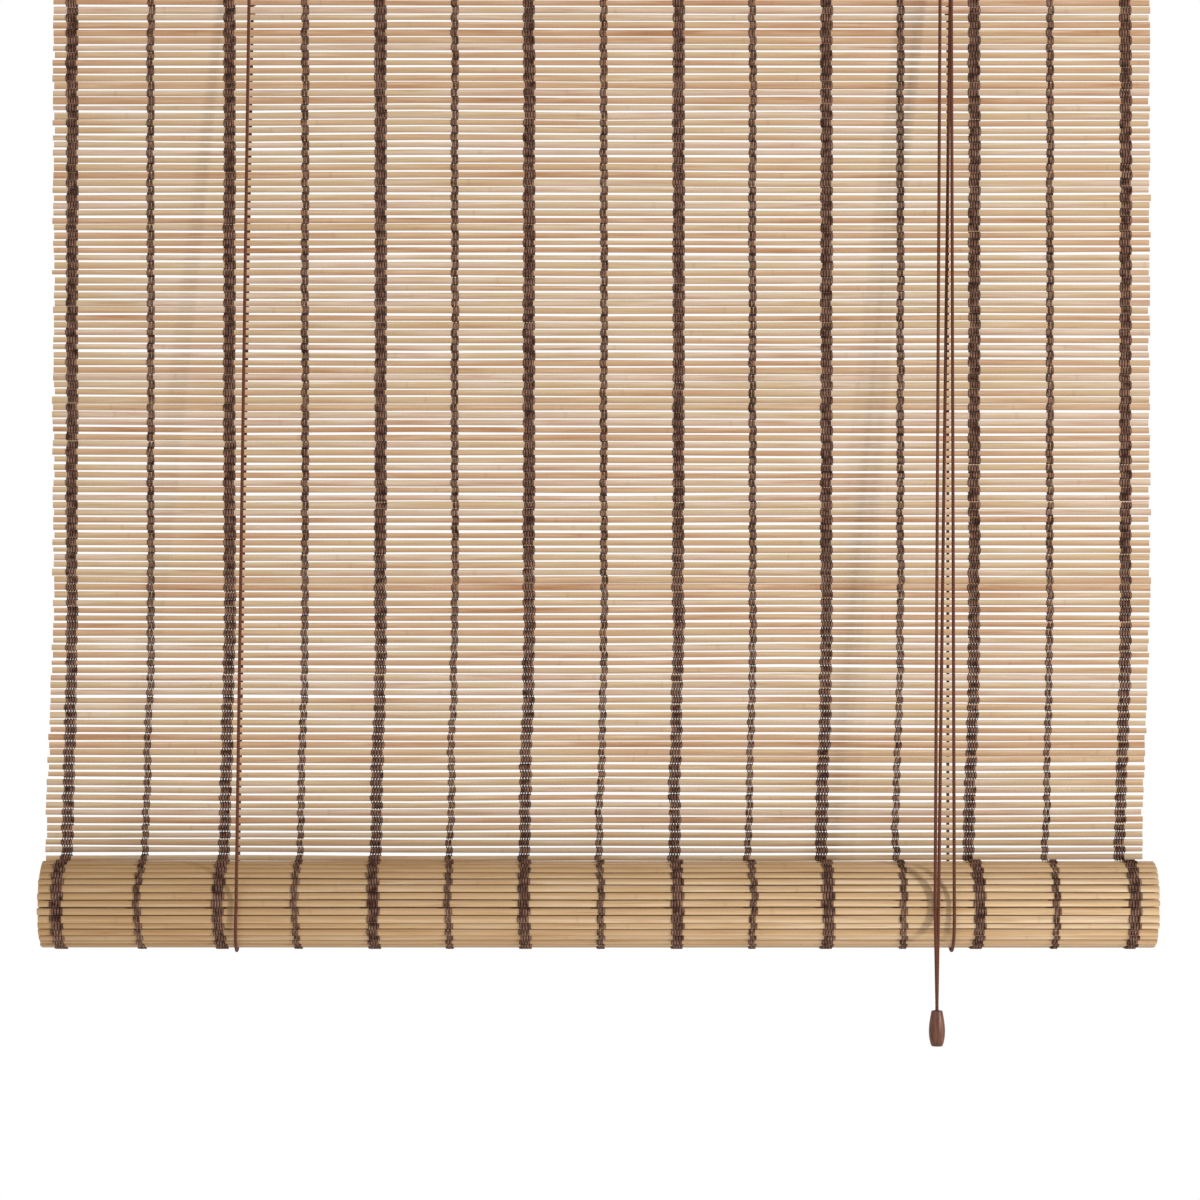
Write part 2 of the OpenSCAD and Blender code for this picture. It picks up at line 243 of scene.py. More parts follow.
# %% [markdown]
# ## Bamboo
# Each slat is split from a cane, so neighbours differ in tone, from pinkish tan to straw and a little
# green, and long pale or dark streaks run along the fibres. The lower edge of each slat is painted darker,
# as painted shade for light that falls from above. A cane also has a joint every third of a metre, which
# leaves a faint line across the slat. The tone and the height on the slat come from numbers that the slat
# maker stores on each slat, and the streaks from noise that is drawn out along X. The outer turn of the
# roll is painted darker towards its left end, as painted shade away from the lamp on the right.

# %% The bamboo finish
PATCH_GRAIN, STREAK_GRAIN = (8.0, 150.0, 150.0), (14.0, 450.0, 450.0)
FIBRE_GRAIN = (14.0, 1400.0, 1400.0)
DARK_FIBRE, BROWN_STREAK, PALE_STREAK = screen(146, 104, 70), screen(150, 100, 58), screen(238, 214, 184)
# The first and the last of these browns are painted shade: on the lower edge of each slat, and towards the
# roll's left end.
LOWER_SHADE_BROWN, JOINT_BROWN, LEFT_SHADE_BROWN = screen(136, 92, 60), screen(120, 84, 54), screen(132, 90, 36)
JOINT_SPACING, JOINT_SCATTER, JOINT_SHARE = 0.37, 9.7, 0.006
LEFT_SHADE_FROM = 0.35


def bamboo(name, tones, left_end_shade=0.0):
    material, sheet, shader = new_finish(name, {"Specular IOR Level": 0.25})
    place = sheet.make("ShaderNodeTexCoord")["Object"]
    x = sheet.make("ShaderNodeSeparateXYZ", {}, {"Vector": place})["X"]
    tone = sheet.make("ShaderNodeAttribute", {"attribute_name": "tone"})["Fac"]
    across = sheet.make("ShaderNodeAttribute", {"attribute_name": "across"})["Fac"]
    stops = [(i / (len(tones) - 1), screen(*colour)) for i, colour in enumerate(tones)]
    patch = noise(sheet, place, PATCH_GRAIN)
    own = tone * 0.5 + spread(sheet, patch, 0.3, 0.7) * 0.5
    shade = sheet.make("ShaderNodeValToRGB", {"stops": stops}, {"Fac": own})["Color"]
    fibre = noise(sheet, place, FIBRE_GRAIN, detail=4.0, roughness=0.65)
    streak = spread(sheet, fibre, 0.35, 0.75)
    dark = mix(sheet, streak * 0.3, shade, DARK_FIBRE)
    drawn = noise(sheet, place, STREAK_GRAIN)
    brown = mix(sheet, spread(sheet, drawn, 0.44, 0.24) * 0.5, dark, BROWN_STREAK)
    lit = mix(sheet, spread(sheet, drawn, 0.54, 0.76) * 0.5, brown, PALE_STREAK)
    # Painted shade: the lower edge of each slat is darkened, as if lit from above.
    lower_shade = mix(sheet, spread(sheet, across, 0.5, -1.0) * 0.5, lit, LOWER_SHADE_BROWN)
    from_joint = abs((x / JOINT_SPACING + tone * JOINT_SCATTER).fraction() - 0.5)
    joint_line = spread(sheet, from_joint, 0.0, JOINT_SHARE, 1.0, 0.0)
    lined = mix(sheet, joint_line * 0.14, lower_shade, JOINT_BROWN)
    # Painted shade: the roll's outer turn darkens towards its left end, away from the lamp on the right.
    shade_to_left = spread(sheet, x, LEFT_SHADE_FROM, -SLAT_LENGTH / 2)
    colour = mix(sheet, shade_to_left * left_end_shade, lined, LEFT_SHADE_BROWN)
    sheet.feed(shader, {
        "Base Color": colour,
        "Roughness": spread(sheet, fibre, 0.2, 0.8, 0.5, 0.72),
        "Normal": bump(sheet, fibre + joint_line * 0.8, 0.35, 0.0002),
    })
    return material


hanging_bamboo = bamboo("hanging_bamboo", [
    (160, 113, 75), (184, 141, 103), (197, 161, 127), (201, 170, 132),
    (200, 177, 139), (212, 190, 166), (200, 167, 141), (176, 131, 93),
])
# The rolled bamboo gets painted shade towards its left end.
rolled_bamboo = bamboo("rolled_bamboo", [
    (185, 144, 97), (208, 172, 125), (218, 186, 144), (212, 181, 137),
    (230, 204, 168), (195, 156, 111),
], left_end_shade=0.47)
print("bamboo finishes:", hanging_bamboo.name, rolled_bamboo.name)

# %% [markdown]
# ## Yarn and cord
# The yarn is spun and matt. Painted shade darkens it in the creases beside it and where it dives
# between two slats, which leaves its crown lighter. The yarn maker stores both places as numbers on the
# yarn, and a fine noise adds loose fibres.
# The cord is braided, so its pattern must follow the cord, and it is drawn on the cord's own UV map as two
# sets of slanted ridges.

# %% Yarn and cord finishes
YARN_FUZZ, YARN_BATCH = (2600.0, 2600.0, 1700.0), (150.0, 150.0, 170.0)
YARN_DARK, YARN_LIGHT = screen(64, 37, 27), screen(146, 110, 92)
# The last colour here is painted shade for the yarn's creases.
YARN_FIBRE, YARN_CREASE_SHADE = screen(152, 114, 94), screen(30, 16, 15)
BRAID_STRANDS, BRAID_LENGTH = 4, 0.0042
CORD_FUZZ = (1500.0, 1500.0, 900.0)
CORD_DARK, CORD_LIGHT, CORD_FIBRE = screen(64, 32, 22), screen(110, 63, 45), screen(146, 100, 74)


def yarn_finish():
    material, sheet, shader = new_finish("yarn_brown", {"Specular IOR Level": 0.12})
    place = sheet.make("ShaderNodeTexCoord")["Object"]
    fuzz = noise(sheet, place, YARN_FUZZ, roughness=0.6)
    batch = noise(sheet, place, YARN_BATCH)
    beside = sheet.make("ShaderNodeAttribute", {"attribute_name": "beside"})["Fac"]
    dive = sheet.make("ShaderNodeAttribute", {"attribute_name": "dive"})["Fac"]
    crown = mix(sheet, spread(sheet, batch, 0.35, 0.65), YARN_DARK, YARN_LIGHT)
    fibres = mix(sheet, spread(sheet, fuzz, 0.52, 0.8) * 0.4, crown, YARN_FIBRE)
    # Painted shade: the yarn is darkened beside its crown and where it dives between two slats.
    crease_shade = (dive * 0.7).larger(spread(sheet, beside, 0.3, 0.75))
    sheet.feed(shader, {
        "Base Color": mix(sheet, crease_shade * 0.92, fibres, YARN_CREASE_SHADE),
        "Roughness": spread(sheet, fuzz, 0.2, 0.8, 0.82, 0.98),
        "Normal": bump(sheet, fuzz, 0.6, 0.00025),
    })
    return material


def cord_finish():
    material, sheet, shader = new_finish("cord_brown", {"Specular IOR Level": 0.2})
    uv = sheet.make("ShaderNodeUVMap", {"uv_map": "braid"})["UV"]
    parts = sheet.make("ShaderNodeSeparateXYZ", {}, {"Vector": uv})
    around = parts["X"] * (2 * math.pi * BRAID_STRANDS)
    along = parts["Y"] * (2 * math.pi / BRAID_LENGTH)
    ridges = (around + along).sine() * (around - along).sine() * 0.5 + 0.5
    place = sheet.make("ShaderNodeTexCoord")["Object"]
    fuzz = noise(sheet, place, CORD_FUZZ)
    first = mix(sheet, ridges, CORD_DARK, CORD_LIGHT)
    colour = mix(sheet, spread(sheet, fuzz, 0.5, 0.8) * 0.25, first, CORD_FIBRE)
    sheet.feed(shader, {
        "Base Color": colour,
        "Roughness": spread(sheet, fuzz, 0.2, 0.8, 0.6, 0.85),
        "Normal": bump(sheet, ridges + fuzz * 0.3, 0.7, 0.0004),
    })
    return material


yarn_brown = yarn_finish()
cord_brown = cord_finish()
print("fibre finishes:", yarn_brown.name, cord_brown.name)

# %% [markdown]
# ## Wood, metal and wheels
# The rail and the knob are planed wood under a thin varnish. A picture of wood could be laid on them, but
# a sine of a slow noise gives growth rings that wander like real ones, at their real scale on any solid.
# The fittings are zinc-plated steel with fine brushing, and the wheels are moulded plastic.

# %% Wood, metal and wheel finishes
GROWTH_RINGS = 26.0


def wood(name, pale, dark, grain):
    material, sheet, shader = new_finish(name, {"Specular IOR Level": 0.3, "Coat Roughness": 0.35})
    place = sheet.make("ShaderNodeTexCoord")["Object"]
    warp = noise(sheet, place, tuple(share * 0.25 for share in grain))
    fine = noise(sheet, place, grain, detail=5.0, roughness=0.6)
    rings = ((warp * GROWTH_RINGS).sine() * 0.5 + 0.5) * 0.6 + fine * 0.4
    colour = mix(sheet, spread(sheet, rings, 0.15, 0.85), screen(*pale), screen(*dark))
    sheet.feed(shader, {
        "Base Color": colour,
        "Roughness": spread(sheet, fine, 0.2, 0.8, 0.42, 0.6),
        "Coat Weight": spread(sheet, fine, 0.2, 0.8, 0.25, 0.1),
        "Normal": bump(sheet, rings, 0.2, 0.0002),
    })
    return material


def zinc():
    material, sheet, shader = new_finish("zinc_steel", {"Metallic": 1.0})
    place = sheet.make("ShaderNodeTexCoord")["Object"]
    brushed = noise(sheet, place, (300.0, 300.0, 4200.0), detail=2.0)
    cloud = noise(sheet, place, (220.0, 220.0, 220.0))
    colour = mix(sheet, spread(sheet, cloud, 0.3, 0.7), screen(168, 170, 172), screen(206, 206, 202))
    sheet.feed(shader, {
        "Base Color": colour,
        "Roughness": spread(sheet, brushed, 0.2, 0.8, 0.26, 0.46),
        "Normal": bump(sheet, brushed, 0.12, 0.0001),
    })
    return material


def wheel_plastic():
    material, sheet, shader = new_finish("wheel_plastic", {"Specular IOR Level": 0.4})
    place = sheet.make("ShaderNodeTexCoord")["Object"]
    mould = noise(sheet, place, (1800.0, 1800.0, 1800.0))
    colour = mix(sheet, mould, screen(46, 38, 33), screen(70, 58, 50))
    sheet.feed(shader, {
        "Base Color": colour,
        "Roughness": spread(sheet, mould, 0.2, 0.8, 0.38, 0.55),
        "Normal": bump(sheet, mould, 0.15, 0.0001),
    })
    return material


rail_wood = wood("rail_wood", (212, 170, 122), (178, 130, 84), (9.0, 330.0, 330.0))
knob_wood = wood("knob_wood", (112, 66, 42), (74, 40, 26), (900.0, 900.0, 60.0))
zinc_steel = zinc()
dark_wheel = wheel_plastic()
print("rail finishes:", rail_wood.name, knob_wood.name, zinc_steel.name, dark_wheel.name)

# %% [markdown]
# ## Where the mat runs
# The mat is one long strip. A point on it is found from s, the length of mat from the rail down, or from
# the roll's outer end inwards, and from how far it stands out on the rear side. Hanging, that is a plain
# drop. Wound, it is a spiral: the area between two radii over the turn pitch is the length of mat, which
# gives the radius, and the radius gives the angle. The mat in the photograph also leans a few
# millimetres to the left near the roll. Two more functions give the direction along the mat at a place,
# as its shares of Y and Z.

# %% Two paths for the same mat
LEAN_TOP, LEAN_LOW, LEAN_ROLL = 0.0012, -0.0032, -0.0012
SLACK_FROM, SLACK_TO = 0.5, 0.74


def down_the_mat(sheet, at):
    return 0.0, 1.0


def round_the_roll(sheet, at):
    y, z = at["Y"] - axis_y, at["Z"] - axis_z
    radius = (y * y + z * z) ** 0.5
    return z / radius, 0 - y / radius


def hanging_path(sheet, s, out):
    values = {
        "Value": s, "From Min": SLACK_FROM, "From Max": SLACK_TO, "To Min": LEAN_TOP, "To Max": LEAN_LOW}
    lean = sheet.make("ShaderNodeMapRange", {"interpolation_type": "SMOOTHSTEP"}, values)["Result"]
    return lean, mat_y + out, mat_top - s, 0.0


def wound_path(sheet, s, out):
    radius = (ROLL_RADIUS ** 2 - s * (TURN_PITCH / math.pi)) ** 0.5
    angle = (ROLL_RADIUS - radius) * (2 * math.pi / TURN_PITCH)
    y = (radius + out) * angle.cosine() + axis_y
    z = axis_z - (radius + out) * angle.sine()
    return LEAN_ROLL, y, z, 0 - angle


# %% [markdown]
# ## Helpers for Geometry Nodes
# A tree gets its sizes as named inputs. They are set through the socket's identifier, the result is
# turned into a plain mesh, and the modifier is dropped, so that what is exported is what is seen.
# A mat is hung by hand and never quite even: groups of slats sag a little together, and the bands of yarn
# wander to the side, most of all near the roll. Both are slow noises over the place, shared by slats and
# yarn so that they agree.

# %% Make a tree, run it and keep the mesh
SAG_WAVES, ASIDE_WAVES = (3.4, 8.0), (24.0, 26.0)
FREE_BELOW_RAIL = 0.1
LOOSE_FROM, LOOSE_TO, TIGHT_SHARE = 0.35, 0.05, 0.45
SHARP_ANGLE = math.radians(38)


def new_tree(name, sizes):
    tree = bpy.data.node_groups.new(name, "GeometryNodeTree")
    sheet = Sheet(tree)
    tree.interface.new_socket("Geometry", in_out="INPUT", socket_type="NodeSocketGeometry")
    tree.interface.new_socket("Geometry", in_out="OUTPUT", socket_type="NodeSocketGeometry")
    for size, value in sizes.items():
        kind = "NodeSocketInt" if isinstance(value, int) else "NodeSocketFloat"
        tree.interface.new_socket(size, in_out="INPUT", socket_type=kind)
    entry = sheet.make("NodeGroupInput")
    sheet.inputs = {size: entry[size] for size in ["Geometry", *sizes]}
    return sheet


def store(sheet, geometry, name, value, domain="POINT"):
    settings = {"data_type": "FLOAT", "domain": domain}
    values = {"Geometry": geometry, "Name": name, "Value": value}
    return sheet.make("GeometryNodeStoreNamedAttribute", settings, values)["Geometry"]


def slow_noise(sheet, spot):
    return sheet.make("ShaderNodeTexNoise", {}, {"Vector": spot, "Scale": 1.0, "Detail": 1.0})["Fac"] - 0.5


def sway(sheet, geometry, sag, wobble):
    here = sheet.make("GeometryNodeInputPosition")["Position"]
    at = sheet.make("ShaderNodeSeparateXYZ", {}, {"Vector": here})
    down = slow_noise(sheet, sheet.vector(at["X"] * SAG_WAVES[0], 0.0, at["Z"] * SAG_WAVES[1]))
    sideways, along = ASIDE_WAVES
    aside = slow_noise(sheet, sheet.vector(at["X"] * sideways, at["Y"] * along, at["Z"] * along))
    below_rail = spread(sheet, at["Z"], mat_top, mat_top - FREE_BELOW_RAIL)
    looser = spread(sheet, at["Z"], axis_z + LOOSE_FROM, axis_z + LOOSE_TO, TIGHT_SHARE, 1.0)
    move = sheet.vector(aside * wobble * looser, 0.0, down * sag * below_rail)
    return sheet.make("GeometryNodeSetPosition", {}, {"Geometry": geometry, "Offset": move})["Geometry"]


def close_tree(sheet, geometry, material):
    real = sheet.make("GeometryNodeRealizeInstances", {}, {"Geometry": geometry})["Geometry"]
    painted = sheet.make("GeometryNodeSetMaterial", {}, {"Geometry": real, "Material": material})
    sheet.make("NodeGroupOutput", {}, {"Geometry": painted["Geometry"]})


def run_tree(name, sheet, sizes, points=((0.0, 0.0, 0.0),)):
    mesh = bpy.data.meshes.new(name)
    mesh.from_pydata([Vector(point) for point in points], [], [])
    piece = bpy.data.objects.new(name, mesh)
    bpy.context.scene.collection.objects.link(piece)
    modifier = piece.modifiers.new(name, "NODES")
    modifier.node_group = sheet.tree
    for item in sheet.tree.interface.items_tree:
        if item.in_out == "INPUT" and item.name in sizes:
            modifier[item.identifier] = sizes[item.name]
    bpy.context.view_layer.update()
    graph = bpy.context.evaluated_depsgraph_get()
    result = bpy.data.meshes.new_from_object(
        piece.evaluated_get(graph), preserve_all_data_layers=True, depsgraph=graph)
    piece.modifiers.clear()
    piece.data = result
    result.name = name
    result.shade_smooth()
    result.set_sharp_from_angle(angle=SHARP_ANGLE)
    faces = sum(len(face.vertices) - 2 for face in result.polygons)
    print(name, faces, "triangles")
    return piece


# %% [markdown]
# ## Slats
# A slat could be a cube, but split bamboo has eased edges and never runs quite straight. One blank is a
# cube with a few rows, whose edge rows are thinned. It is set along the path, each copy with its own
# length, height, tilt and tone, and after the copies are made real a noise bends every slat a little.
# Near the roll the mat is slack: the slats there have slid to the left in their ties, and slimmer ones
# leave wider gaps. The same tree serves the hanging part, the few slats that the rail clamps, and the
# roll, which has another path.

# %% The slat tree
OUT_PLAY, DROP_PLAY = 0.00012, 0.00022
TILT_PLAY, SLANT_PLAY = 0.04, 0.0009
EDGE_THINNING = 0.42
BEND_WAVES, BEND_START = (7.0, 171.0), 37.0


def slat_tree(name, path, along, material, sizes):
    sheet = new_tree(name, sizes)
    size = sheet.inputs
    index = sheet.make("GeometryNodeInputIndex")["Index"]
    here = sheet.make("GeometryNodeInputPosition")["Position"]
    at = sheet.make("ShaderNodeSeparateXYZ", {}, {"Vector": here})

    def chance(low, high, seed):
        values = {2: low, 3: high, "ID": index, "Seed": seed}
        return sheet.make("FunctionNodeRandomValue", {"data_type": "FLOAT"}, values)[1]

    full = sheet.vector(size["Slat length"], size["Slat thickness"], size["Slat height"])
    rows = {"Size": full, "Vertices X": 7, "Vertices Y": 2, "Vertices Z": 4}
    cube = sheet.make("GeometryNodeMeshCube", {}, rows)["Mesh"]
    from_middle = abs(at["Z"]) * 2 / size["Slat height"]
    eased = at["Y"] * (1 - from_middle ** 4.0 * EDGE_THINNING)
    shaped = sheet.make("GeometryNodeSetPosition", {}, {
        "Geometry": cube, "Position": sheet.vector(at["X"], eased, at["Z"])})["Geometry"]
    blank = store(sheet, shaped, "across", at["Z"] * 2 / size["Slat height"])

    row = sheet.make("GeometryNodeMeshLine", {}, {"Count": size["Slats"], "Offset": (0, 0, 0.001)})["Mesh"]
    s = index * size["Pitch"] + size["First slat"]
    x, y, z, turn = path(sheet, s, chance(-OUT_PLAY, OUT_PLAY, 1))
    near_roll = spread(sheet, s, SLACK_FROM, SLACK_TO)
    uneven = chance(-1.0, 1.0, 2) * size["End spread"] + near_roll * size["Slide"]
    slimmer = 1 - near_roll * size["Slimmer"]
    shifted = sheet.vector(x + uneven, y, z + chance(-DROP_PLAY, DROP_PLAY, 3))
    placed = sheet.make("GeometryNodeSetPosition", {}, {"Geometry": row, "Position": shifted})["Geometry"]
    lean = sheet.vector(
        turn + chance(-TILT_PLAY, TILT_PLAY, 4), chance(-SLANT_PLAY, SLANT_PLAY, 5), 0.0)
    shorter = 1 - chance(0.0, 2.0, 6) * size["End spread"] / size["Slat length"]
    copies = sheet.make("GeometryNodeInstanceOnPoints", {}, {
        "Points": placed,
        "Instance": blank,
        "Rotation": sheet.make("FunctionNodeEulerToRotation", {}, {"Euler": lean})["Rotation"],
        "Scale": sheet.vector(shorter, chance(0.85, 1.06, 7), chance(0.86, 1.12, 8) * slimmer),
    })["Instances"]
    toned = store(sheet, copies, "tone", chance(0.0, 1.0, 9), "INSTANCE")
    real = sheet.make("GeometryNodeRealizeInstances", {}, {"Geometry": toned})["Geometry"]

    slow, fast = BEND_WAVES
    spot = sheet.vector(at["X"] * slow + BEND_START, at["Y"] * fast, at["Z"] * fast)
    wander = slow_noise(sheet, spot) * size["Bend"]
    share_y, share_z = along(sheet, at)
    bend = sheet.vector(0.0, wander * share_y, wander * share_z)
    bent = sheet.make("GeometryNodeSetPosition", {}, {"Geometry": real, "Offset": bend})["Geometry"]
    close_tree(sheet, sway(sheet, bent, size["Sag"], 0.0), material)
    return sheet


# %% [markdown]
# The rail clamps the top few slats. They stay in place when the rest is gathered, so they are a piece of
# their own. How many slats are wound follows from the spiral: they fill the length of mat between the
# roll's outer radius and the rod.

# %% Hanging slats and wound slats
slat_sizes = {
    "Slats": SLAT_COUNT, "Pitch": SLAT_PITCH, "First slat": SLAT_HEIGHT / 2, "Slat length": SLAT_LENGTH,
    "Slat thickness": SLAT_THICKNESS, "Slat height": 0.0048, "Bend": 0.0027, "Sag": 0.0034,
    "End spread": 0.0009, "Slide": -0.003, "Slimmer": 0.1,
}
hanging_tree = slat_tree("hang_slats", hanging_path, down_the_mat, hanging_bamboo, slat_sizes)
hanging_mat = run_tree("hanging_mat", hanging_tree, slat_sizes)

CLAMPED_SLATS = 6
clamped_sizes = {
    **slat_sizes, "Slats": CLAMPED_SLATS, "First slat": SLAT_HEIGHT / 2 - CLAMPED_SLATS * SLAT_PITCH,
    "Bend": 0.0,
}
clamped_mat = run_tree("clamped_mat", hanging_tree, clamped_sizes)

ROD_GAP, FIRST_WOUND = 0.0001, 0.375
inner_radius = ROD_RADIUS + ROD_GAP + SLAT_THICKNESS / 2
wound_length = math.pi * (ROLL_RADIUS ** 2 - inner_radius ** 2) / TURN_PITCH
wound_sizes = {
    **slat_sizes, "Slats": int(wound_length / SLAT_PITCH), "First slat": SLAT_PITCH * FIRST_WOUND,
    "Slat height": 0.0053, "Bend": 0.0026, "Sag": 0.0, "End spread": 0.0004, "Slide": 0.0, "Slimmer": 0.0,
}
wound_tree = slat_tree("wind_slats", wound_path, round_the_roll, rolled_bamboo, wound_sizes)
wound_mat = run_tree("wound_mat", wound_tree, wound_sizes)

# %% [markdown]
# ## Yarn
# The bands look like plaits from a step away. Close up each column is two yarns side by side that take
# turns: a yarn is in front of this slat, passes through the gap, and is behind the next one, where its
# partner is in front. So what is seen steps a little to the left and to the right from slat to slat.
# Each yarn is a wave over the length of mat, and its partner is the same wave half a period on.
# Soft yarn is pressed flat on the slat, so a column is made from round yarn and widened as it is copied.
# Near the roll the mat hangs loose and the yarn is drawn thin in the gaps, so light comes through there.

# %% The yarn tree
YARN_SIDES = 6
WAVE_REACH = 0.62
THIN_FROM, THIN_TO, TOP_THINNING = 0.35, 0.6, 0.1


def yarn_tree(name, path, material, sizes):
    sheet = new_tree(name, sizes)
    size = sheet.inputs
    index = sheet.make("GeometryNodeInputIndex")["Index"]
    round_yarn = sheet.make("GeometryNodeCurvePrimitiveCircle", {}, {
        "Resolution": YARN_SIDES, "Radius": size["Yarn radius"]})["Curve"]
    count = size["Slats"] * size["Steps"] + 1
    s = (index / size["Steps"] - 0.5) * size["Pitch"] + size["First slat"]
    phase = (s - size["First slat"]) * math.pi / size["Pitch"]
    thinner = spread(sheet, s, THIN_FROM, THIN_TO, TOP_THINNING, size["Thinnest"])

    def strand(shift, side):
        line = sheet.make("GeometryNodeMeshLine", {}, {"Count": count, "Offset": (0, 0, 0.001)})["Mesh"]
        lift = spread(sheet, (phase + shift).cosine(), -WAVE_REACH, WAVE_REACH, -1.0, 1.0)
        x, y, z, _ = path(sheet, s, lift * size["Rise"] + size["Stand out"])
        beside = (x + size["Half step"] * side) / size["Flatness"]
        moved = sheet.make("GeometryNodeSetPosition", {}, {
            "Geometry": line, "Position": sheet.vector(beside, y, z)})["Geometry"]
        dive = 1 - abs(lift)
        noted = store(sheet, store(sheet, moved, "dive", dive), "waist", 1 - dive * thinner)
        curve = sheet.make("GeometryNodeMeshToCurve", {}, {"Mesh": noted})["Curve"]
        waist = sheet.make("GeometryNodeInputNamedAttribute", {"data_type": "FLOAT"}, {"Name": "waist"})
        return sheet.make("GeometryNodeCurveToMesh", {}, {
            "Curve": curve, "Profile Curve": round_yarn, "Scale": waist["Attribute"],
            "Fill Caps": True})["Mesh"]

    pair = [strand(0.0, -1.0), strand(math.pi, 1.0)]
    column = sheet.make("GeometryNodeJoinGeometry", {}, {"Geometry": pair})["Geometry"]
    copies = sheet.make("GeometryNodeInstanceOnPoints", {}, {
        "Points": size["Geometry"], "Instance": column,
        "Scale": sheet.vector(size["Flatness"], 1.0, 1.0)})["Instances"]
    real = sheet.make("GeometryNodeRealizeInstances", {}, {"Geometry": copies})["Geometry"]
    normal = sheet.make("GeometryNodeInputNormal")["Normal"]
    facing = sheet.make("ShaderNodeSeparateXYZ", {}, {"Vector": normal})["X"]
    # The sideways share of the normal marks the yarn's sides, where the finish paints shade.
    creased = store(sheet, real, "beside", abs(facing))
    close_tree(sheet, sway(sheet, creased, size["Sag"], size["Wobble"]), material)
    return sheet


# %% [markdown]
# ## Places of the bands
# Eight thick bands of four columns and seven thin bands of two. The inner thick bands are evenly spaced,
# the outermost ones sit near the slat ends, and a thin band lies midway between each two thick ones.
# Tied by hand, they lie a millimetre or three beside their places on the drawing.

# %% Columns of yarn
BAND_PITCH, BAND_INSET = 0.122, 0.017
HAND_TIED = [-0.0012, 0.0, 0.002, 0.0016, 0.0024, 0.0017, 0.0009, -0.003]
THICK_COLUMNS, THIN_COLUMNS = 4, 2
INNER_BANDS, OUTER_TURN_SLATS = 6, 36
THICK_COLUMN_PITCH, THIN_COLUMN_PITCH = 0.0022, 0.0028
edge_band = SLAT_LENGTH / 2 - BAND_INSET
inner_bands = [(i - (INNER_BANDS - 1) / 2) * BAND_PITCH for i in range(INNER_BANDS)]
drawn_bands = [-edge_band, *inner_bands, edge_band]
thick_bands = [place + beside for place, beside in zip(drawn_bands, HAND_TIED)]
thin_bands = [(left + right) / 2 for left, right in zip(thick_bands, thick_bands[1:])]


def columns(bands, count, pitch):
    middle = (count - 1) / 2
    return [(band + (i - middle) * pitch, 0.0, 0.0) for band in bands for i in range(count)]


thick = (THICK_COLUMNS, THICK_COLUMN_PITCH)
thin = (THIN_COLUMNS, THIN_COLUMN_PITCH)
yarn_sizes = {
    "Slats": SLAT_COUNT, "Steps": 4, "Pitch": SLAT_PITCH, "First slat": SLAT_HEIGHT / 2, "Rise": 0.00115,
    "Half step": 0.0007, "Yarn radius": 0.00055, "Flatness": 1.85, "Thinnest": 0.75, "Stand out": 0.0,
    "Sag": 0.0034, "Wobble": 0.0046,
}
roll_yarn_sizes = {
    **yarn_sizes, "Slats": OUTER_TURN_SLATS, "First slat": wound_sizes["First slat"], "Rise": 0.00135,
    "Sag": 0.0, "Stand out": 0.0003,
}
hang_yarn = yarn_tree("hang_yarn", hanging_path, yarn_brown, yarn_sizes)
wind_yarn = yarn_tree("wind_yarn", wound_path, yarn_brown, roll_yarn_sizes)
hanging_yarn = [
    run_tree("hanging_yarn_left", hang_yarn, yarn_sizes, columns(thick_bands[:4], *thick)),
    run_tree("hanging_yarn_right", hang_yarn, yarn_sizes, columns(thick_bands[4:], *thick)),
    run_tree("hanging_yarn_thin", hang_yarn, yarn_sizes, columns(thin_bands, *thin)),
]
wound_yarn = [
    run_tree("wound_yarn_thick", wind_yarn, roll_yarn_sizes, columns(thick_bands, *thick)),
    run_tree("wound_yarn_thin", wind_yarn, roll_yarn_sizes, columns(thin_bands, *thin)),
]

# %% [markdown]
# ## How the mat moves
# When the roll rises it takes up mat. The hanging part can't be wound on by a rigid model, so it stays on
# the rail's body. The share of it that is left between the rail and the roll at the upper limit is worked
# out, but nothing uses it. The wound part simply rides on the roll.

# %% Put the mat and its yarn on their bodies
def gather(piece, top):
    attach(piece, "head")
    keep = 1 - lift_travel / (top - axis_z)
    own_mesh(piece)


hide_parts("hanging_slats")
gather(hanging_mat, mat_top)
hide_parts("hanging_slats")
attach(clamped_mat, "head")
for piece, kind in zip(hanging_yarn, ["thick", "thick", "thin"]):
    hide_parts("hanging_" + kind + "_bands")
    gather(piece, mat_top)
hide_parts("rolled_slats")
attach(wound_mat, "roll")
for piece, node in zip(wound_yarn, ["rolled_thick_bands", "rolled_thin_bands"]):
    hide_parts(node)
    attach(piece, "roll")
print("the mat is on its bodies")

# %% [markdown]
# ## Cords
# A cord is a tube along its route, with a UV map for the braid. The route of each cord is the one of the
# construction model: behind the mat from the knot to the roll, half round the roll, up in front to the
# pulley, and over the wheel. All of it is taut, so the straight stretches only need rings a few millimetres
# apart.

# %% A braided tube along a route
CORD_SIDES = 12


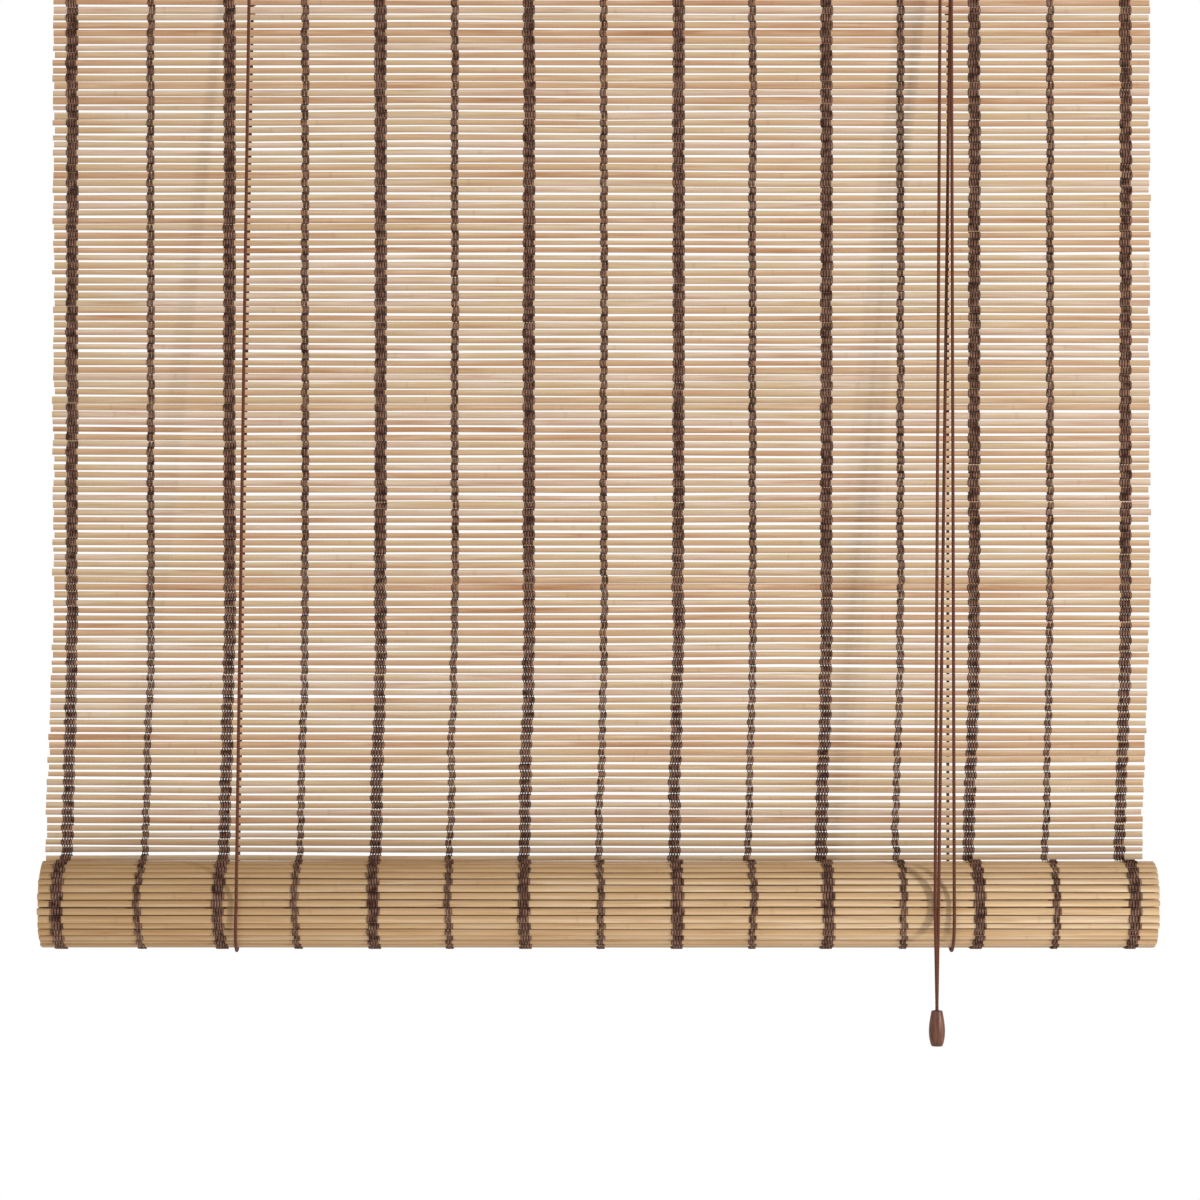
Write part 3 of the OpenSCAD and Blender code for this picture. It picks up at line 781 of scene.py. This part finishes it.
def cord_tube(name, route, across):
    points = [Vector(point) for point in route]
    shell = bmesh.new()
    uv = shell.loops.layers.uv.new("braid")
    rings, lengths, run = [], [], 0.0
    for i, point in enumerate(points):
        ahead = points[min(i + 1, len(points) - 1)] - points[max(i - 1, 0)]
        ahead.normalize()
        side = Vector(across) - ahead * ahead.dot(Vector(across))
        side.normalize()
        up = ahead.cross(side)
        run += (point - points[i - 1]).length if i else 0.0
        lengths.append(run)
        angles = [2 * math.pi * k / CORD_SIDES for k in range(CORD_SIDES)]
        rings.append([
            shell.verts.new(point + CORD_RADIUS * (math.cos(a) * side + math.sin(a) * up)) for a in angles])
    for i in range(len(rings) - 1):
        for k in range(CORD_SIDES):
            n = (k + 1) % CORD_SIDES
            face = shell.faces.new([rings[i][k], rings[i][n], rings[i + 1][n], rings[i + 1][k]])
            face.smooth = True
            corners = [(k, i), (k + 1, i), (k + 1, i + 1), (k, i + 1)]
            for loop, (turn, ring) in zip(face.loops, corners):
                loop[uv].uv = (turn / CORD_SIDES, lengths[ring])
    shell.faces.new(list(reversed(rings[0])))
    shell.faces.new(rings[-1])
    mesh = bpy.data.meshes.new(name)
    shell.to_mesh(mesh)
    shell.free()
    mesh.materials.append(cord_brown)
    piece = bpy.data.objects.new(name, mesh)
    bpy.context.scene.collection.objects.link(piece)
    return piece


def straight(start, end, step=0.008):
    start, end = Vector(start), Vector(end)
    count = max(2, round((end - start).length / step))
    return [start.lerp(end, i / count) for i in range(count + 1)]


def arc(middle, radius, first, last, plane, count=18):
    middle = Vector(middle)
    turns = [math.radians(first + (last - first) * i / count) for i in range(count + 1)]
    flat, up = Vector(plane), Vector((0, 0, 1))
    return [middle + radius * (math.cos(turn) * flat + math.sin(turn) * up) for turn in turns]


# %% [markdown]
# The ends of each stretch are read from the construction model's own cords and wheels. In the photograph
# both loops hang a few millimetres to the left of their pulleys, as the mat does, so their lower ends
# lean by that much. The left one also runs a little outwards behind the mat, where its front run hides it.

# %% Lift cords behind, under and in front of the mat
loop_low, loop_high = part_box("left_loop")
loop_radius = (loop_high[1] - loop_low[1]) / 2 - CORD_RADIUS - SNUG
loop_front, loop_rear = axis_y - loop_radius, axis_y + loop_radius
cord_x = {"left": (loop_low[0] + loop_high[0]) / 2}
cord_x["right"] = -cord_x["left"]
knot_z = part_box("left_knot")[0][2]
tie_y = sum(corner[1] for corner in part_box("left_eye")) / 2
wheel_z = sum(corner[2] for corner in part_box("front_wheel")) / 2
front_wheel_y = sum(corner[1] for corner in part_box("front_wheel")) / 2
rear_wheel_y = sum(corner[1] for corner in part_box("rear_wheel")) / 2
wheel_y = {"left": rear_wheel_y, "right": front_wheel_y}
TO_SIDE, TO_WALL = (1, 0, 0), (0, 1, 0)
UNDER_STEPS = 36

LOOP_LEAN = {"left": -0.0052, "right": -0.0025}
REAR_LEAN = {"left": -0.0112, "right": -0.0004}

for side, x in cord_x.items():
    low_x, rear_x = x + LOOP_LEAN[side], x + REAR_LEAN[side]
    rear = cord_tube(side + "_rear_run", straight((x, tie_y, knot_z), (rear_x, loop_rear, axis_z)), TO_SIDE)
    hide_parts(side + "_rear_cord")
    gather(rear, knot_z)
    front = cord_tube(
        side + "_front_run", straight((x, wheel_y[side], wheel_z), (low_x, loop_front, axis_z)), TO_SIDE)
    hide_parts(side + "_front_cord")
    gather(front, wheel_z)
    half_round = arc((rear_x, axis_y, axis_z), loop_radius, 0, -180, TO_WALL, UNDER_STEPS)
    slant = Vector(((low_x - rear_x) / UNDER_STEPS, 0, 0))
    under = cord_tube(side + "_under_roll", [p + i * slant for i, p in enumerate(half_round)], TO_SIDE)
    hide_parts(side + "_loop")
    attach(under, "lift_loops")
    print(side, "lift cord at x", round(x, 4))

# %% [markdown]
# On the rail the left cord turns a quarter round its wheel, runs across and turns down over the rear wheel
# on the right, while the right cord goes half round the front wheel. Arcs and straight runs are joined into
# one route, so each of the two is a single tube.

# %% Cords over the wheels
left_wheel_x = cord_x["left"] + WHEEL_CORD_RADIUS
right_wheel_x = cord_x["right"] - WHEEL_CORD_RADIUS
over_left = arc((left_wheel_x, rear_wheel_y, wheel_z), WHEEL_CORD_RADIUS, 180, 90, TO_SIDE)
over_rear = arc((right_wheel_x, rear_wheel_y, wheel_z), WHEEL_CORD_RADIUS, 90, 0, TO_SIDE)
along_rail = straight(over_left[-1], over_rear[0])
cross = cord_tube("cross_run", over_left + along_rail[1:-1] + over_rear, TO_WALL)
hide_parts("cross_cord")
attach(cross, "head")
wrap = cord_tube(
    "right_wheel_wrap",
    arc((right_wheel_x, front_wheel_y, wheel_z), WHEEL_CORD_RADIUS, 0, 180, TO_SIDE, count=24), TO_WALL)
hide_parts("right_wrap")
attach(wrap, "head")
print("cross run of", round(right_wheel_x - left_wheel_x, 3), "m along the rail")

# %% [markdown]
# ## Pull strands
# The two cords come down side by side, touch the roll and meet in the knob, one behind the other. The
# stretch above the roll is put on the rail's body. The stretch below it grows as the knob comes down while
# the roll goes up, and here it is only fixed where it hangs.

# %% Upper and lower pull strands
knob_low, knob_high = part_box("pull_knob")
pull_x = (knob_low[0] + knob_high[0]) / 2
knob_y = (knob_low[1] + knob_high[1]) / 2
knob_floor = knob_high[2] - KNOB_BORE
starts = {
    "left": (cord_x["right"], rear_wheel_y, wheel_z),
    "right": (cord_x["right"] - 2 * WHEEL_CORD_RADIUS, front_wheel_y, wheel_z),
}
for side, hand in (("left", 1), ("right", -1)):
    on_roll = (pull_x + hand * STRAND_HALF, loop_front, axis_z)
    in_knob = (pull_x, knob_y + hand * BORE_HALF, knob_floor)
    upper_route = straight(starts[side], on_roll)
    lower_route = straight(on_roll, in_knob, step=0.004)
    upper = cord_tube(side + "_strand_upper", upper_route, TO_SIDE)
    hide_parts(side + "_pull_upper")
    gather(upper, wheel_z)
    lower = cord_tube(side + "_strand_lower", lower_route, TO_SIDE)
    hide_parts(side + "_pull_lower")
    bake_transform(lower)
    print(side, "strand:", len(upper_route) + len(lower_route), "rings")

# %% [markdown]
# ## Rail, pulleys and knob
# These solids already have their true shape, so they stay and only get a finish. A CAD node's mesh is
# left as it is, and the finish goes into its material slots.

# %% Finishes on the construction model's own nodes
finishes = {
    "front_batten": rail_wood, "rear_batten": rail_wood, "bottom_rod": rail_wood, "pull_knob": knob_wood,
    "left_wheel": dark_wheel, "front_wheel": dark_wheel, "rear_wheel": dark_wheel,
    "left_knot": cord_brown, "right_knot": cord_brown,
}
metal = [
    "batten_screws", "left_hanger", "right_hanger", "hanger_screws", "left_bracket", "left_axle",
    "right_bracket", "right_axle", "bracket_screws", "left_eye", "right_eye",
]
finishes.update({name: zinc_steel for name in metal})
for name, material in finishes.items():
    slots = frame["nodes"][name].material_slots
    if not slots:
        frame["nodes"][name].data.materials.append(material)
    for slot in slots:
        slot.material = material
print(len(finishes), "nodes have their finish")

# %% [markdown]
# ## Camera
# The photograph looks straight at the mat from about three metres. The roll is only two and a half per
# cent larger than the mat, which gives that distance, and the mat's width in the picture gives the lens.
# The photograph has an empty strip at its foot, so the frame is shifted down and the camera stays level.

# %% The camera
FRAME_PIXELS = 1200
LEVEL_ROW = 504
MAT_PIXELS = 1097
DISTANCE, CAMERA_RISE = 3.0, 0.3234
camera_data = bpy.data.cameras.new("photo_camera")
camera_data.sensor_width = 36.0
camera_data.lens = camera_data.sensor_width * DISTANCE * MAT_PIXELS / (FRAME_PIXELS * SLAT_LENGTH)
camera_data.shift_y = (LEVEL_ROW - FRAME_PIXELS / 2) / FRAME_PIXELS
camera = bpy.data.objects.new("photo_camera", camera_data)
camera.location = (0.0, mat_y - DISTANCE, axis_z + CAMERA_RISE)
camera.rotation_euler = (math.radians(90), 0.0, 0.0)
bpy.context.scene.collection.objects.link(camera)
bpy.context.scene.camera = camera
print("lens", round(camera_data.lens, 1), "mm")

# %% [markdown]
# ## Light and surroundings
# The cords throw soft shadows to their left, so a lamp stands well to the right of the camera, wide enough
# to soften them. The rest is even light from all round. To the camera the world is white, which also
# shines through the gaps of the mat, while the light that it gives stays at a plain level.

# %% World, floor and lamps
def lamp(name, place, aim, size, power):
    light = bpy.data.lights.new(name, "AREA")
    light.size = size
    light.energy = power
    holder = bpy.data.objects.new(name, light)
    holder.location = place
    holder.rotation_euler = (Vector(aim) - Vector(place)).to_track_quat("-Z", "Y").to_euler()
    bpy.context.scene.collection.objects.link(holder)


WORLD_LIGHT = 0.5
world = bpy.data.worlds.new("white_room")
bpy.context.scene.world = world
world.use_nodes = True
sky = Sheet(world.node_tree)
sky.tree.nodes.clear()
rays = sky.make("ShaderNodeLightPath")
seen = 1 - (1 - rays["Is Camera Ray"]) * (1 - rays["Is Glossy Ray"]) * (1 - rays["Is Transmission Ray"])
white = sky.make("ShaderNodeBackground", {}, {"Color": (1, 1, 1, 1), "Strength": 1.0})["Background"]
glow = sky.make("ShaderNodeBackground", {}, {"Color": (1, 1, 1, 1), "Strength": WORLD_LIGHT})["Background"]
sky.make("ShaderNodeOutputWorld", {}, {
    "Surface": sky.make("ShaderNodeMixShader", {}, {0: seen, 1: glow, 2: white})["Shader"]})

FLOOR_DROP, FLOOR_SIDE, FLOOR_NEAR, FLOOR_FAR = 1.25, 8.0, -9.0, 1.6
floor_z = axis_z - FLOOR_DROP
floor_ends = [
    (-FLOOR_SIDE, FLOOR_NEAR), (FLOOR_SIDE, FLOOR_NEAR), (FLOOR_SIDE, FLOOR_FAR), (-FLOOR_SIDE, FLOOR_FAR)]
floor_mesh = bpy.data.meshes.new("pale_floor")
floor_mesh.from_pydata([(x, y, floor_z) for x, y in floor_ends], [], [(0, 1, 2, 3)])
floor_paint = new_finish("floor_paint", {
    "Base Color": screen(246, 246, 247), "Roughness": 0.9,
    "Emission Color": (1, 1, 1, 1), "Emission Strength": 0.2})
floor_mesh.materials.append(floor_paint[0])
pale_floor = bpy.data.objects.new("pale_floor", floor_mesh)
bpy.context.scene.collection.objects.link(pale_floor)

AIM_RISE = 0.35
middle = (0.0, mat_y, axis_z + AIM_RISE)
lamp("key_lamp", (4.4, -3.4, axis_z + 1.0), middle, size=0.75, power=225.0)
lamp("fill_lamp", (-1.8, -2.6, axis_z + 0.5), middle, size=1.6, power=9.0)
bpy.context.scene.view_settings.view_transform = "Standard"
print("world light", WORLD_LIGHT)

# %% Keep both boxes and finish
def corners(box):
    return [[float(value) for value in corner] for corner in box]
